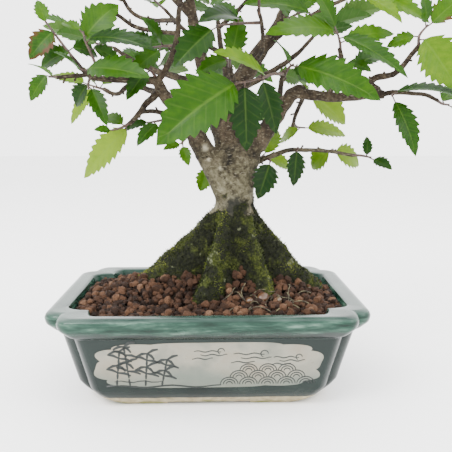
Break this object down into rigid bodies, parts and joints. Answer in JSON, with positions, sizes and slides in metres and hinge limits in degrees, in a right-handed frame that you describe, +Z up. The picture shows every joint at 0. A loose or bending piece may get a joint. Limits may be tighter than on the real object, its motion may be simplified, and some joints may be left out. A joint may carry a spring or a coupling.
{
  "type": "zelkova bonsai in a ceramic pot",
  "caption": "Small Japanese zelkova tree with a root flare, forked trunk and toothed leaves, in an oblong glazed ceramic pot with indented corners.",
  "frame": {"origin": "middle of the bounding box's base, in the plane that the pot's feet stand on", "axes": "+X along the pot's long side, to the right seen from the front; -Y is the front; +Z up"},
  "size_m": [0.2544, 0.1662, 0.3015],
  "materials": {
    "glazed_ceramic": "green-grey gloss glaze, unglazed at the foot",
    "clay_granules": "rough fired clay",
    "plastic_mesh": "dark matte",
    "bark": "grey bark, mossy at the roots",
    "leaf": "satin green leaf"
  },
  "bodies": {
    "root": {"pot": "glazed_ceramic", "soil": "clay_granules", "drain_mesh_left": "plastic_mesh", "drain_mesh_right": "plastic_mesh", "tree": "bark", "spray_left_tip": "leaf", "spray_left_upper": "leaf", "spray_left_low": "leaf", "spray_left_hang": "leaf", "spray_left_front": "leaf", "spray_low_left": "leaf", "spray_left_inner": "leaf", "spray_left_back": "leaf", "spray_left_spur": "leaf", "spray_inner_left": "leaf", "spray_upper_front": "leaf", "spray_upper_front_tip": "leaf", "spray_centre_front": "leaf", "spray_right_front": "leaf", "spray_right_upper": "leaf", "spray_right_top": "leaf", "spray_right_tip": "leaf", "spray_right_mid": "leaf", "spray_right_inner": "leaf", "spray_right_outer": "leaf", "spray_right_low": "leaf", "spray_right_back": "leaf", "spray_lower_tip": "leaf", "spray_lower_mid": "leaf", "spray_lower_inner": "leaf", "spray_base_right": "leaf", "spray_base_front": "leaf", "spray_trunk_left": "leaf", "spray_left_bud": "leaf", "spray_centre_top": "leaf", "spray_centre_mid": "leaf", "spray_crown_1_1": "leaf", "spray_crown_1_2": "leaf", "spray_crown_2_1": "leaf", "spray_crown_2_2": "leaf", "spray_crown_3_1": "leaf", "spray_crown_3_2": "leaf", "spray_crown_3_3": "leaf", "spray_crown_4_1": "leaf", "spray_crown_4_2": "leaf", "spray_crown_5_1": "leaf", "spray_crown_6_1": "leaf", "spray_crown_6_2": "leaf", "spray_crown_6_3": "leaf", "spray_crown_7_1": "leaf", "spray_crown_7_2": "leaf", "spray_crown_8_1": "leaf", "spray_crown_8_2": "leaf", "spray_crown_9_1": "leaf", "spray_crown_10_1": "leaf", "spray_crown_11_1": "leaf", "spray_crown_12_1": "leaf", "spray_crown_13_1": "leaf", "spray_crown_14_1": "leaf"}
  },
  "joints": []
}
